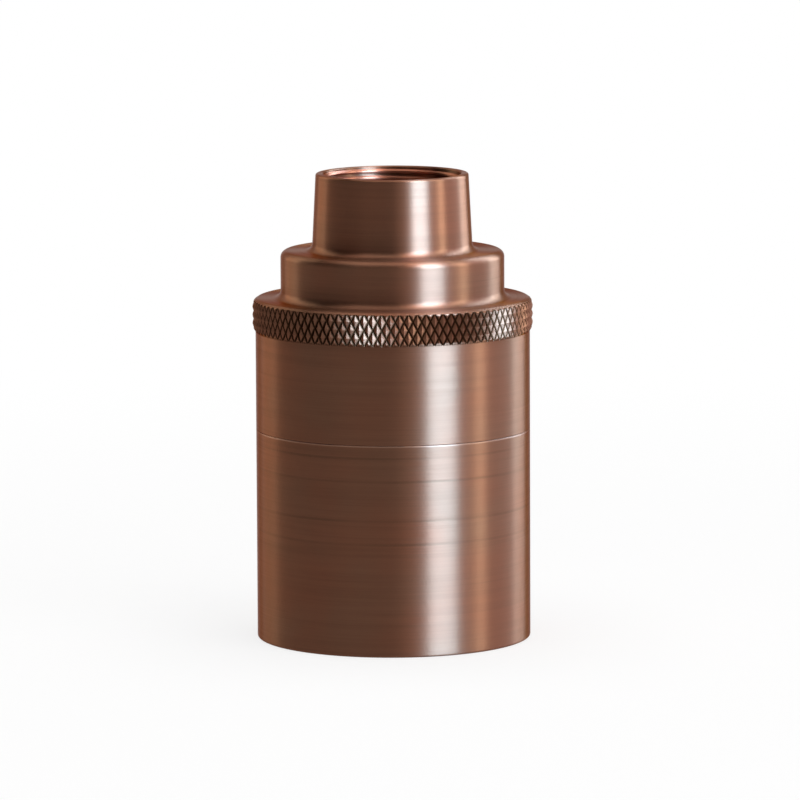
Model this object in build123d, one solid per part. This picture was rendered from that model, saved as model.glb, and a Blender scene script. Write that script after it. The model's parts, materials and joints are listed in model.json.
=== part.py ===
from build123d import *
from math import cos, pi, sin
import os

# Lamp holder with a threaded neck: a turned copper cap with a knurled collar screws onto a turned
# sleeve, and a porcelain insert with the lamp thread shell is clamped between the two.
# It stands on its mouth. The origin is on the axis, at the height of the rim. Millimetres, +Z up.

os.makedirs("parts", exist_ok=True)

# Sleeve, the lower shell
BODY_RADIUS = 20.0
SLEEVE_HEIGHT = 30.7
SLEEVE_WALL = 1.6
RIM_ROUNDING = 0.3
RIM_INNER_CHAMFER = 0.4
PARTING_CHAMFER = 0.15
SPIGOT_HEIGHT = 6.3
SPIGOT_WALL = 0.9
SPIGOT_CHAMFER = 0.25
SPIGOT_ROOT_HEIGHT = 2.2

# Cap, the upper shell
SKIRT_HEIGHT = 14.5
CAP_WALL = 1.55
CAP_INNER_LEDGE = 1.05
SHOULDER_THICKNESS = 1.65
SHOULDER_WIDTH = 3.7
STEP_HEIGHT = 6.65
STEP_WALL = 1.5
STEP_CEILING = 2.8
STEP_ROUNDING = 1.0
CORNER_FILLET = 1.1
INNER_FILLET = 0.5
NECK_BORE_RADIUS = 10.0
NECK_HEIGHT = 11.2
NECK_FOOT_WALL = 1.7
NECK_TOP_WALL = 1.13
NECK_LIP_ROUNDING = 0.35
NECK_MOUTH_CHAMFER = 0.4

# Diamond knurl of the cap's collar
COLLAR_HEIGHT = 4.95
COLLAR_ROUNDING = 1.1
COLLAR_EDGE_LAND = 0.37
KNURL_DIAMONDS = 99
KNURL_ROWS = 3
KNURL_STAND_OUT = 0.45
KNURL_DEPTH = 0.55
KNURL_TOP_DEPTH = 0.25
KNURL_TOP_ROW_DROP = 0.31

# Porcelain insert
INSERT_BOTTOM = 5.0
INSERT_WEB = 7.0
INSERT_WEB_DROP = 1.5
INSERT_FLANGE_HEIGHT = 2.5
INSERT_HEAD_ROOM = 1.5
INSERT_LIP_ROUNDING = 0.8
INSERT_EDGE_ROUNDING = 0.3
WELL_WALL = 1.5
LIVE_RECESS_DEPTH = 3.4
GASKET_THICKNESS = 0.5

# Lamp thread shell
LAMP_THREAD_RADIUS = 13.3
SHELL_SHEET = 0.4
SHELL_BOTTOM = 7.5
SHELL_THREAD_LENGTH = 16.4
SHELL_NECKING = 0.4
SHELL_NECKING_HEIGHT = 0.6
TAB_WIDTH = 5.0
RIVET_ANGLES = (60, -60)
NEUTRAL_ANGLE = 180

# Centre contact
BUSH_RADIUS = 3.6
BUSH_FLANGE_RADIUS = 4.6
BUSH_FLANGE_THICKNESS = 0.8
BUSH_ROLLED_RADIUS = 4.2
BUSH_ROLLED_HEIGHT = 0.6
BUSH_GUIDE_LENGTH = 2.6
BUSH_SPRING_RADIUS = 2.9
CONTACT_HEAD_RADIUS = 4.0
CONTACT_HEAD_THICKNESS = 1.6
CONTACT_FLAT_RADIUS = 2.4
CONTACT_RIM_THICKNESS = 0.7
CONTACT_STEM_RADIUS = 1.5
CONTACT_STEM_END = 0.9
CONTACT_TRAVEL = 1.8
CONTACT_TRAVEL_SPARE = 0.3
CLIP_GROOVE_DEPTH = 0.35
CLIP_THICKNESS = 0.5
CLIP_RADIUS = 2.7
CLIP_GAP_WIDTH = 1.6
SPRING_RADIUS = 2.2
SPRING_WIRE_RADIUS = 0.25
SPRING_TURNS = 6

# Terminals and their screws
TERMINAL_WIDTH = 6.0
TERMINAL_HEIGHT = 9.0
TERMINAL_EDGE = 0.3
WIRE_HOLE_RADIUS = 1.4
WIRE_HOLE_DEPTH = 5.0
WIRE_HOLE_WALL = 0.7
CLAMP_SCREW_HEIGHT = 6.6
CLAMP_SCREW_BACKED_OUT = 1.3
CLAMP_SCREW_SPARE = 0.1
CLAMP_SCREW_HEAD_ROOM = 1.6
SCREW_RADIUS = 1.45
SCREW_HEAD_RADIUS = 2.3
SCREW_HEAD_HEIGHT = 1.7
SCREW_HEAD_ROUNDING = 0.3
SCREW_SLOT_WIDTH = 0.7
SCREW_SLOT_DEPTH = 0.8
FIXING_SCREW_DEPTH = 3.4
FIXING_HOLE_WALL = 0.65
STRIP_THICKNESS = 0.6
STRIP_WIDTH = 5.0
STRIP_RING_RADIUS = 4.8
RIVET_RADIUS = 1.4
RIVET_HEAD_RADIUS = 2.0
RIVET_HEAD_HEIGHT = 0.8

# Earth terminal under the cap's ceiling
EARTH_SIDE_ROOM = 2.7
EARTH_WASHER_THICKNESS = 0.5
EARTH_CLAMP_THICKNESS = 0.6
EARTH_CLAMP_LENGTH = 6.4
EARTH_CLAMP_WIDTH = 4.2
EARTH_CLAMP_LIP = 0.5
EARTH_SCREW_OPEN = 1.5
EARTH_HOLE_DEPTH = 2.0
EARTH_SCREW_ENGAGED = 0.6

# Fits
RUNNING_GAP = 0.05
FIXED_GAP = 0.03
LOOSE_GAP = 0.1
THREAD_DEPTH = 0.4
INSERT_SIDE_GAP = 0.2
FLANGE_SIDE_GAP = 0.35
UPPER_SIDE_GAP = 0.8
SHELL_SIDE_GAP = 0.3
GASKET_SIDE_GAP = 0.05
STRIP_SIDE_GAP = 0.4
POCKET_GAP = 0.3
CUT_OVERRUN = 1.0

# Heights and radii that follow from the sizes above
KNURL_BOTTOM = SLEEVE_HEIGHT + SKIRT_HEIGHT
SHOULDER = KNURL_BOTTOM + COLLAR_HEIGHT
COLLAR_ARC_BOTTOM = SHOULDER - COLLAR_ROUNDING
KNURL_ROW_HEIGHT = (COLLAR_ARC_BOTTOM - COLLAR_EDGE_LAND - KNURL_BOTTOM) / KNURL_ROWS
KNURL_TOP_ROW = SHOULDER - KNURL_TOP_ROW_DROP
KNURL_CREST = BODY_RADIUS + KNURL_STAND_OUT
COLLAR_ARC_RADIUS = KNURL_CREST - COLLAR_ROUNDING
STEP_RADIUS = BODY_RADIUS - SHOULDER_WIDTH
STEP_TOP = SHOULDER + STEP_HEIGHT
CAP_TOP = STEP_TOP + NECK_HEIGHT
CAP_SKIRT_BORE = BODY_RADIUS - CAP_WALL
SPIGOT_RADIUS = CAP_SKIRT_BORE - RUNNING_GAP - THREAD_DEPTH
SPIGOT_BORE = SPIGOT_RADIUS - SPIGOT_WALL
SPIGOT_TOP = SLEEVE_HEIGHT + SPIGOT_HEIGHT
CAP_CHAMBER_RADIUS = CAP_SKIRT_BORE - CAP_INNER_LEDGE
CAP_CHAMBER_TOP = SHOULDER - SHOULDER_THICKNESS
STEP_CHAMBER_RADIUS = STEP_RADIUS - STEP_WALL
STEP_CHAMBER_TOP = STEP_TOP - STEP_CEILING
EARTH_RADIUS = STEP_CHAMBER_RADIUS - EARTH_SIDE_ROOM
FLANGE_BOTTOM = SPIGOT_TOP + GASKET_THICKNESS
FLANGE_TOP = FLANGE_BOTTOM + INSERT_FLANGE_HEIGHT
WEB_TOP = FLANGE_BOTTOM - INSERT_WEB_DROP
INSERT_CAVITY_TOP = WEB_TOP - INSERT_WEB
INSERT_TOP = CAP_CHAMBER_TOP - INSERT_HEAD_ROOM
INSERT_RADIUS = SPIGOT_BORE - INSERT_SIDE_GAP
INSERT_FLANGE_RADIUS = CAP_SKIRT_BORE - FLANGE_SIDE_GAP
INSERT_UPPER_RADIUS = CAP_CHAMBER_RADIUS - UPPER_SIDE_GAP
INSERT_CAVITY_RADIUS = LAMP_THREAD_RADIUS + SHELL_SHEET + SHELL_SIDE_GAP
LIVE_RECESS_TOP = INSERT_CAVITY_TOP + LIVE_RECESS_DEPTH
SHELL_THREAD_TOP = SHELL_BOTTOM + SHELL_THREAD_LENGTH
TAB_BOTTOM = INSERT_CAVITY_TOP - SHELL_SHEET
STRIP_TOP = WEB_TOP + STRIP_THICKNESS
BUSH_TOP = STRIP_TOP + BUSH_ROLLED_HEIGHT
BUSH_BOTTOM = INSERT_CAVITY_TOP - BUSH_FLANGE_THICKNESS
BUSH_SPRING_TOP = BUSH_TOP - BUSH_GUIDE_LENGTH
CONTACT_BACK = BUSH_BOTTOM - CONTACT_TRAVEL - CONTACT_TRAVEL_SPARE
CONTACT_TIP = CONTACT_BACK - CONTACT_HEAD_THICKNESS
CLIP_TOP = BUSH_TOP + CLIP_THICKNESS
STEM_TOP = CLIP_TOP + CONTACT_STEM_END
STEM_GROOVE_RADIUS = CONTACT_STEM_RADIUS - CLIP_GROOVE_DEPTH
WELL_RADIUS = STRIP_RING_RADIUS + STRIP_SIDE_GAP
TERMINAL_INNER_X = WELL_RADIUS + WELL_WALL + POCKET_GAP
CLAMP_SCREW_STAND_OUT = SCREW_HEAD_HEIGHT + CLAMP_SCREW_BACKED_OUT + CLAMP_SCREW_SPARE
TERMINAL_OUTER_X = CAP_CHAMBER_RADIUS - CLAMP_SCREW_HEAD_ROOM - CLAMP_SCREW_STAND_OUT
WIRE_HOLE_X = TERMINAL_INNER_X + WIRE_HOLE_WALL + WIRE_HOLE_RADIUS
FIXING_RADIUS = TERMINAL_INNER_X + FIXING_HOLE_WALL + SCREW_RADIUS
POCKET_OUTER_X = TERMINAL_OUTER_X + POCKET_GAP
POCKET_WIDTH = TERMINAL_WIDTH + 2 * POCKET_GAP


def turned(outline):
    """Turn a closed outline of (radius, height, corner rounding) about the vertical axis."""
    corners = [(radius, 0, height) for radius, height, rounding in outline]
    roundings = [rounding for radius, height, rounding in outline]
    section = make_face(FilletPolyline(corners, radius=roundings, close=True).edges())
    return revolve(section, Axis.Z)


def upright(radius, bottom, top, x=0, y=0):
    """Plain vertical cylinder between two heights."""
    return Pos(x, y, (bottom + top) / 2) * Cylinder(radius, top - bottom)


def block(x_range, width, z_range):
    """Box between two x and two z values, centred across y."""
    (x_low, x_high), (z_low, z_high) = x_range, z_range
    centre = Pos((x_low + x_high) / 2, 0, (z_low + z_high) / 2)
    return centre * Box(x_high - x_low, width, z_high - z_low)


def at_angle(angle):
    """Turn about the vertical axis."""
    return Rot(0, 0, angle)


def slotted_screw(shank_length):
    """Cheese-head screw with its shank up the +Z axis and the underside of its head at z = 0."""
    head = turned([
        (0, -SCREW_HEAD_HEIGHT, 0),
        (SCREW_HEAD_RADIUS, -SCREW_HEAD_HEIGHT, SCREW_HEAD_ROUNDING),
        (SCREW_HEAD_RADIUS, 0, 0),
        (SCREW_RADIUS, 0, 0),
        (SCREW_RADIUS, shank_length - SCREW_HEAD_ROUNDING, 0),
        (SCREW_RADIUS - SCREW_HEAD_ROUNDING, shank_length, 0),
        (0, shank_length, 0),
    ])
    slot_height = Pos(0, 0, -SCREW_HEAD_HEIGHT + SCREW_SLOT_DEPTH / 2)
    slot = slot_height * Box(2 * SCREW_HEAD_RADIUS + CUT_OVERRUN, SCREW_SLOT_WIDTH, SCREW_SLOT_DEPTH)
    return head - slot


def collar_arc(height):
    """Radius of the collar's rounded upper edge at a height."""
    rise = height - COLLAR_ARC_BOTTOM
    return COLLAR_ARC_RADIUS + (COLLAR_ROUNDING**2 - rise**2) ** 0.5


def knurled_collar():
    """Disc with the diamond knurl round its edge.

    The edge is a lattice of two columns a diamond. In each row crests and roots take turns, and
    each row is set off by one column from the next. The first and last rows are plain, so that
    the points run out into the skirt and into the shoulder.
    """
    root = KNURL_CREST - KNURL_DEPTH
    top_crest = collar_arc(KNURL_TOP_ROW)
    rows = [(KNURL_BOTTOM, root, root)]
    for row in range(1, KNURL_ROWS + 1):
        rows.append((KNURL_BOTTOM + row * KNURL_ROW_HEIGHT, KNURL_CREST, root))
    rows.append((KNURL_TOP_ROW, top_crest, top_crest - KNURL_TOP_DEPTH))
    rows.append((SHOULDER, COLLAR_ARC_RADIUS, COLLAR_ARC_RADIUS))
    columns = 2 * KNURL_DIAMONDS

    def point(column, row):
        height, crest, valley = rows[row]
        radius = crest if (column + row) % 2 else valley
        angle = pi * (column % columns) / KNURL_DIAMONDS
        return Vector(radius * cos(angle), radius * sin(angle), height)

    facets = []
    for row in range(len(rows) - 1):
        for column in range(columns):
            near_low, far_low = point(column, row), point(column + 1, row)
            near_high, far_high = point(column, row + 1), point(column + 1, row + 1)
            if (column + row) % 2:
                pair = (near_low, far_low, near_high), (far_low, far_high, near_high)
            else:
                pair = (near_low, far_low, far_high), (near_low, far_high, near_high)
            facets += [Face(Wire.make_polygon(corners)) for corners in pair]
    ends = [[point(column, row) for column in range(columns)] for row in (0, len(rows) - 1)]
    facets += [Face(Wire.make_polygon(corners)) for corners in ends]
    return Solid(Shell(facets))


def make_cap():
    skirt = turned([
        (0, SLEEVE_HEIGHT, 0),
        (BODY_RADIUS - PARTING_CHAMFER, SLEEVE_HEIGHT, 0),
        (BODY_RADIUS, SLEEVE_HEIGHT + PARTING_CHAMFER, 0),
        (BODY_RADIUS, KNURL_BOTTOM, 0),
        (0, KNURL_BOTTOM, 0),
    ])
    shoulder_foot = STEP_RADIUS + 2 * CORNER_FILLET
    upper = turned([
        (0, SHOULDER - SHOULDER_THICKNESS / 2, 0),
        (shoulder_foot, SHOULDER - SHOULDER_THICKNESS / 2, 0),
        (shoulder_foot, SHOULDER, 0),
        (STEP_RADIUS, SHOULDER, CORNER_FILLET),
        (STEP_RADIUS, STEP_TOP, STEP_ROUNDING),
        (NECK_BORE_RADIUS + NECK_FOOT_WALL, STEP_TOP, CORNER_FILLET),
        (NECK_BORE_RADIUS + NECK_TOP_WALL, CAP_TOP, NECK_LIP_ROUNDING),
        (0, CAP_TOP, 0),
    ])
    hollow = turned([
        (0, SLEEVE_HEIGHT - CUT_OVERRUN, 0),
        (CAP_SKIRT_BORE, SLEEVE_HEIGHT - CUT_OVERRUN, 0),
        (CAP_SKIRT_BORE, FLANGE_TOP, 0),
        (CAP_CHAMBER_RADIUS, FLANGE_TOP, 0),
        (CAP_CHAMBER_RADIUS, CAP_CHAMBER_TOP, INNER_FILLET),
        (STEP_CHAMBER_RADIUS, CAP_CHAMBER_TOP, 0),
        (STEP_CHAMBER_RADIUS, STEP_CHAMBER_TOP, INNER_FILLET),
        (NECK_BORE_RADIUS, STEP_CHAMBER_TOP, 0),
        (NECK_BORE_RADIUS, CAP_TOP - NECK_MOUTH_CHAMFER, 0),
        (NECK_BORE_RADIUS + NECK_MOUTH_CHAMFER, CAP_TOP, 0),
        (0, CAP_TOP, 0),
    ])
    earth_hole = upright(
        SCREW_RADIUS + RUNNING_GAP,
        STEP_CHAMBER_TOP,
        STEP_CHAMBER_TOP + EARTH_HOLE_DEPTH,
        y=EARTH_RADIUS,
    )
    return skirt + knurled_collar() + upper - hollow - earth_hole


def make_sleeve():
    bore = BODY_RADIUS - SLEEVE_WALL
    ledge = SLEEVE_HEIGHT - SPIGOT_ROOT_HEIGHT
    return turned([
        (BODY_RADIUS, 0, RIM_ROUNDING),
        (BODY_RADIUS, SLEEVE_HEIGHT - PARTING_CHAMFER, 0),
        (BODY_RADIUS - PARTING_CHAMFER, SLEEVE_HEIGHT, 0),
        (SPIGOT_RADIUS, SLEEVE_HEIGHT, 0),
        (SPIGOT_RADIUS, SPIGOT_TOP - SPIGOT_CHAMFER, 0),
        (SPIGOT_RADIUS - SPIGOT_CHAMFER, SPIGOT_TOP, 0),
        (SPIGOT_BORE, SPIGOT_TOP, 0),
        (SPIGOT_BORE, ledge, 0),
        (bore, ledge, 0),
        (bore, RIM_INNER_CHAMFER, 0),
        (bore + RIM_INNER_CHAMFER, 0, 0),
    ])


def make_insulator():
    body = turned([
        (0, INSERT_CAVITY_TOP, 0),
        (INSERT_CAVITY_RADIUS, INSERT_CAVITY_TOP, INSERT_EDGE_ROUNDING),
        (INSERT_CAVITY_RADIUS, INSERT_BOTTOM, INSERT_LIP_ROUNDING),
        (INSERT_RADIUS, INSERT_BOTTOM, INSERT_LIP_ROUNDING),
        (INSERT_RADIUS, FLANGE_BOTTOM, 0),
        (INSERT_FLANGE_RADIUS, FLANGE_BOTTOM, INSERT_EDGE_ROUNDING),
        (INSERT_FLANGE_RADIUS, FLANGE_TOP, INSERT_EDGE_ROUNDING),
        (INSERT_UPPER_RADIUS, FLANGE_TOP, 0),
        (INSERT_UPPER_RADIUS, INSERT_TOP, INSERT_LIP_ROUNDING),
        (0, INSERT_TOP, 0),
    ])
    bush_hole = upright(BUSH_RADIUS + FIXED_GAP, INSERT_CAVITY_TOP, WEB_TOP)
    well = upright(WELL_RADIUS, WEB_TOP, INSERT_TOP)
    above = (WEB_TOP, INSERT_TOP)
    window = (FLANGE_TOP, INSERT_TOP)
    live_pocket = block((0, POCKET_OUTER_X), POCKET_WIDTH, above)
    neutral_pocket = block((TERMINAL_INNER_X - POCKET_GAP, POCKET_OUTER_X), POCKET_WIDTH, above)
    screw_window = block((TERMINAL_INNER_X, BODY_RADIUS), POCKET_WIDTH, window)
    screw_hole = upright(SCREW_RADIUS + LOOSE_GAP, INSERT_CAVITY_TOP, WEB_TOP, x=FIXING_RADIUS)
    live_head_recess = upright(
        SCREW_HEAD_RADIUS + POCKET_GAP,
        INSERT_CAVITY_TOP,
        LIVE_RECESS_TOP,
        x=FIXING_RADIUS,
    )
    body = body - bush_hole - well - live_pocket - screw_window - screw_hole - live_head_recess
    for cut in (neutral_pocket, screw_window, screw_hole):
        body = body - at_angle(NEUTRAL_ANGLE) * cut
    rivet_well = upright(RIVET_HEAD_RADIUS + POCKET_GAP, WEB_TOP, INSERT_TOP, x=FIXING_RADIUS)
    rivet_hole = upright(RIVET_RADIUS + LOOSE_GAP, INSERT_CAVITY_TOP, WEB_TOP, x=FIXING_RADIUS)
    for angle in RIVET_ANGLES:
        body = body - at_angle(angle) * rivet_well - at_angle(angle) * rivet_hole
    return body


def make_fibre_gasket():
    ring = upright(SPIGOT_RADIUS - GASKET_SIDE_GAP, SPIGOT_TOP, FLANGE_BOTTOM)
    return ring - upright(SPIGOT_BORE + GASKET_SIDE_GAP, SPIGOT_TOP, FLANGE_BOTTOM)


def make_screw_shell():
    outer = LAMP_THREAD_RADIUS + SHELL_SHEET
    upper_bore = LAMP_THREAD_RADIUS - SHELL_NECKING
    necking_top = SHELL_THREAD_TOP + SHELL_NECKING_HEIGHT
    shell = turned([
        (LAMP_THREAD_RADIUS, SHELL_BOTTOM, 0),
        (outer, SHELL_BOTTOM, 0),
        (outer, SHELL_THREAD_TOP, 0),
        (outer - SHELL_NECKING, necking_top, 0),
        (outer - SHELL_NECKING, INSERT_CAVITY_TOP, 0),
        (upper_bore, INSERT_CAVITY_TOP, 0),
        (upper_bore, necking_top, 0),
        (LAMP_THREAD_RADIUS, SHELL_THREAD_TOP, 0),
    ])
    sheet_range = (TAB_BOTTOM, INSERT_CAVITY_TOP)
    tab = block((FIXING_RADIUS, upper_bore + SHELL_SHEET / 2), TAB_WIDTH, sheet_range)
    tab = tab + upright(TAB_WIDTH / 2, TAB_BOTTOM, INSERT_CAVITY_TOP, x=FIXING_RADIUS)
    hole = upright(SCREW_RADIUS + FIXED_GAP, TAB_BOTTOM, INSERT_CAVITY_TOP, x=FIXING_RADIUS)
    for angle in (*RIVET_ANGLES, NEUTRAL_ANGLE):
        shell = shell + at_angle(angle) * tab - at_angle(angle) * hole
    return shell


def make_shell_rivet(angle):
    head_edge = RIVET_HEAD_HEIGHT / 2
    rivet = turned([
        (0, TAB_BOTTOM - RIVET_HEAD_HEIGHT, 0),
        (RIVET_HEAD_RADIUS, TAB_BOTTOM - RIVET_HEAD_HEIGHT, head_edge),
        (RIVET_HEAD_RADIUS, TAB_BOTTOM, 0),
        (RIVET_RADIUS, TAB_BOTTOM, 0),
        (RIVET_RADIUS, WEB_TOP, 0),
        (RIVET_HEAD_RADIUS, WEB_TOP, 0),
        (RIVET_HEAD_RADIUS, WEB_TOP + RIVET_HEAD_HEIGHT, head_edge),
        (0, WEB_TOP + RIVET_HEAD_HEIGHT, 0),
    ])
    return at_angle(angle) * Pos(FIXING_RADIUS, 0, 0) * rivet


def make_contact_bush():
    guide = CONTACT_STEM_RADIUS + RUNNING_GAP
    return turned([
        (BUSH_SPRING_RADIUS, BUSH_BOTTOM, 0),
        (BUSH_FLANGE_RADIUS, BUSH_BOTTOM, 0),
        (BUSH_FLANGE_RADIUS, INSERT_CAVITY_TOP, 0),
        (BUSH_RADIUS, INSERT_CAVITY_TOP, 0),
        (BUSH_RADIUS, STRIP_TOP, 0),
        (BUSH_ROLLED_RADIUS, STRIP_TOP, 0),
        (BUSH_ROLLED_RADIUS, BUSH_TOP, BUSH_ROLLED_HEIGHT / 2),
        (guide, BUSH_TOP, 0),
        (guide, BUSH_SPRING_TOP, 0),
        (BUSH_SPRING_RADIUS, BUSH_SPRING_TOP, 0),
    ])


def make_contact_plunger():
    return turned([
        (0, CONTACT_TIP, 0),
        (CONTACT_FLAT_RADIUS, CONTACT_TIP, 0),
        (CONTACT_HEAD_RADIUS, CONTACT_BACK - CONTACT_RIM_THICKNESS, 0),
        (CONTACT_HEAD_RADIUS, CONTACT_BACK, 0),
        (CONTACT_STEM_RADIUS, CONTACT_BACK, 0),
        (CONTACT_STEM_RADIUS, BUSH_TOP, 0),
        (STEM_GROOVE_RADIUS, BUSH_TOP, 0),
        (STEM_GROOVE_RADIUS, CLIP_TOP, 0),
        (CONTACT_STEM_RADIUS, CLIP_TOP, 0),
        (CONTACT_STEM_RADIUS, STEM_TOP, 0),
        (0, STEM_TOP, 0),
    ])


def make_contact_spring():
    height = BUSH_SPRING_TOP - CONTACT_BACK - 2 * SPRING_WIRE_RADIUS
    start = CONTACT_BACK + SPRING_WIRE_RADIUS
    path = Helix(pitch=height / SPRING_TURNS, height=height, radius=SPRING_RADIUS)
    wire = Plane(path @ 0, z_dir=path % 0) * Circle(SPRING_WIRE_RADIUS)
    return Pos(0, 0, start) * sweep(wire, path=path)


def make_plunger_clip():
    ring = upright(CLIP_RADIUS, BUSH_TOP, CLIP_TOP)
    ring = ring - upright(STEM_GROOVE_RADIUS + FIXED_GAP, BUSH_TOP, CLIP_TOP)
    return ring - block((0, 2 * CLIP_RADIUS), CLIP_GAP_WIDTH, (BUSH_TOP, CLIP_TOP))


def make_live_strip():
    strip = upright(STRIP_RING_RADIUS, WEB_TOP, STRIP_TOP)
    strip = strip + block((0, TERMINAL_OUTER_X - TERMINAL_EDGE), STRIP_WIDTH, (WEB_TOP, STRIP_TOP))
    strip = strip - upright(BUSH_RADIUS + FIXED_GAP, WEB_TOP, STRIP_TOP)
    return strip - upright(SCREW_RADIUS + LOOSE_GAP, WEB_TOP, STRIP_TOP, x=FIXING_RADIUS)


def make_terminal(floor):
    """Pillar block on the +X side: wire hole from the top, clamping screw from the outer face."""
    top = floor + TERMINAL_HEIGHT
    pillar = block((TERMINAL_INNER_X, TERMINAL_OUTER_X), TERMINAL_WIDTH, (floor, top))
    pillar = chamfer(pillar.edges(), TERMINAL_EDGE)
    wire_hole = upright(WIRE_HOLE_RADIUS, top - WIRE_HOLE_DEPTH, top, x=WIRE_HOLE_X)
    fixing_hole = upright(SCREW_RADIUS + FIXED_GAP, floor, floor + FIXING_SCREW_DEPTH, x=FIXING_RADIUS)
    clamp_length = TERMINAL_OUTER_X - WIRE_HOLE_X
    clamp_middle = Pos((TERMINAL_OUTER_X + WIRE_HOLE_X) / 2, 0, floor + CLAMP_SCREW_HEIGHT)
    clamp_hole = clamp_middle * Rot(0, 90, 0) * Cylinder(SCREW_RADIUS + RUNNING_GAP, clamp_length)
    return pillar - wire_hole - fixing_hole - clamp_hole


def make_clamp_screw(floor):
    """Clamping screw of the +X terminal, backed out so that the wire hole is free."""
    head_face = TERMINAL_OUTER_X + CLAMP_SCREW_BACKED_OUT + CLAMP_SCREW_SPARE
    tip = WIRE_HOLE_X + WIRE_HOLE_RADIUS + CLAMP_SCREW_SPARE
    screw = slotted_screw(head_face - tip)
    return Pos(head_face, 0, floor + CLAMP_SCREW_HEIGHT) * Rot(0, -90, 0) * screw


def make_fixing_screw(head_underside, floor):
    """Screw up through the web into the +X terminal's foot."""
    screw = slotted_screw(floor + FIXING_SCREW_DEPTH - RUNNING_GAP - head_underside)
    return Pos(FIXING_RADIUS, 0, head_underside) * screw


def earth_levels():
    """Undersides of the earth clamp and of its washer, with room left above for the wire."""
    clamp_bottom = STEP_CHAMBER_TOP - EARTH_SCREW_OPEN - EARTH_CLAMP_THICKNESS
    washer_bottom = clamp_bottom - EARTH_WASHER_THICKNESS
    return clamp_bottom, washer_bottom


def make_earth_screw():
    washer_bottom = earth_levels()[1]
    shank = STEP_CHAMBER_TOP + EARTH_SCREW_ENGAGED - washer_bottom
    return Pos(0, EARTH_RADIUS, washer_bottom) * slotted_screw(shank)


def make_earth_washer():
    clamp_bottom, washer_bottom = earth_levels()
    disc = upright(EARTH_CLAMP_WIDTH / 2, washer_bottom, clamp_bottom, y=EARTH_RADIUS)
    return disc - upright(SCREW_RADIUS + LOOSE_GAP, washer_bottom, clamp_bottom, y=EARTH_RADIUS)


def make_earth_clamp():
    clamp_bottom = earth_levels()[0]
    clamp_top = clamp_bottom + EARTH_CLAMP_THICKNESS
    plate = Pos(0, EARTH_RADIUS, (clamp_bottom + clamp_top) / 2) * Box(
        EARTH_CLAMP_LENGTH, EARTH_CLAMP_WIDTH, EARTH_CLAMP_THICKNESS
    )
    lip_x = (EARTH_CLAMP_LENGTH - EARTH_CLAMP_THICKNESS) / 2
    for side in (-1, 1):
        plate = plate + Pos(side * lip_x, EARTH_RADIUS, clamp_top + EARTH_CLAMP_LIP / 2) * Box(
            EARTH_CLAMP_THICKNESS, EARTH_CLAMP_WIDTH, EARTH_CLAMP_LIP
        )
    return plate - upright(SCREW_RADIUS + LOOSE_GAP, clamp_bottom, clamp_top, y=EARTH_RADIUS)


pieces = {
    "cap": make_cap(),
    "sleeve": make_sleeve(),
    "insulator": make_insulator(),
    "fibre_gasket": make_fibre_gasket(),
    "screw_shell": make_screw_shell(),
    "shell_rivet_1": make_shell_rivet(RIVET_ANGLES[0]),
    "shell_rivet_2": make_shell_rivet(RIVET_ANGLES[1]),
    "contact_bush": make_contact_bush(),
    "contact_plunger": make_contact_plunger(),
    "contact_spring": make_contact_spring(),
    "plunger_clip": make_plunger_clip(),
    "live_strip": make_live_strip(),
    "live_terminal": make_terminal(STRIP_TOP),
    "live_terminal_screw": make_clamp_screw(STRIP_TOP),
    "live_fixing_screw": make_fixing_screw(LIVE_RECESS_TOP, STRIP_TOP),
    "neutral_terminal": at_angle(NEUTRAL_ANGLE) * make_terminal(WEB_TOP),
    "neutral_terminal_screw": at_angle(NEUTRAL_ANGLE) * make_clamp_screw(WEB_TOP),
    "neutral_fixing_screw": at_angle(NEUTRAL_ANGLE) * make_fixing_screw(TAB_BOTTOM, WEB_TOP),
    "earth_screw": make_earth_screw(),
    "earth_washer": make_earth_washer(),
    "earth_clamp": make_earth_clamp(),
}

for name, piece in pieces.items():
    export_step(piece, f"parts/{name}.step")
    print(name, round(piece.volume, 1))
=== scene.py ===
# %% [markdown]
# # A turned lamp holder in antique copper
# This lesson dresses a lamp holder that already works as a CAD model. Two turned copper shells show:
# a cap with a threaded neck, a stepped shoulder and a knurled collar, and below it a plain sleeve.
# Inside sit a porcelain insert, the brass shell for the lamp's thread, a sprung contact and three
# screw terminals. They show from below, through the neck, and when the cap is lifted off.

# %% Load the frame
import json
from math import ceil, cos, pi, radians, sin, tan

import bmesh
import bpy
from mathutils import Matrix, Vector


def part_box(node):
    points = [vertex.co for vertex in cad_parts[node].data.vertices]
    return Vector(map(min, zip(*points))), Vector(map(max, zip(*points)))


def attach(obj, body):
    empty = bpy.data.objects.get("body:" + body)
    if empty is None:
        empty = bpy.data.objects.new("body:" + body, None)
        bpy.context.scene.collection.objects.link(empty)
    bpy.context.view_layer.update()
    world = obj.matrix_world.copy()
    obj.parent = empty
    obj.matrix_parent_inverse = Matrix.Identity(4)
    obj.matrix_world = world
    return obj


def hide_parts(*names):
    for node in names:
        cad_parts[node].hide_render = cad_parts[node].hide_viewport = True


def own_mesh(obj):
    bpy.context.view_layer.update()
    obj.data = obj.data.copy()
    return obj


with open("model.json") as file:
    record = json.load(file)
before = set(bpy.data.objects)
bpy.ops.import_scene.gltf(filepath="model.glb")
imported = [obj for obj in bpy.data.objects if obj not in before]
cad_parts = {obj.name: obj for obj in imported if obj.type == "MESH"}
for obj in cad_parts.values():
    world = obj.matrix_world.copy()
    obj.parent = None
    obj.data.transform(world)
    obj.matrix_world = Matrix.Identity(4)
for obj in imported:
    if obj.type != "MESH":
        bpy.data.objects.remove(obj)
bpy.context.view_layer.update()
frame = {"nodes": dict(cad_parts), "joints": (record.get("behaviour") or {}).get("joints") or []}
MM = 0.001
print("nodes:", len(frame["nodes"]))

# %% [markdown]
# ## Sizes
# The maker's drawing is in millimetres. Heights count up from the rim that the holder stands on.
# What the CAD model knows is read from it. What only the looks need, such as a rounding, is named
# here once.

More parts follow.
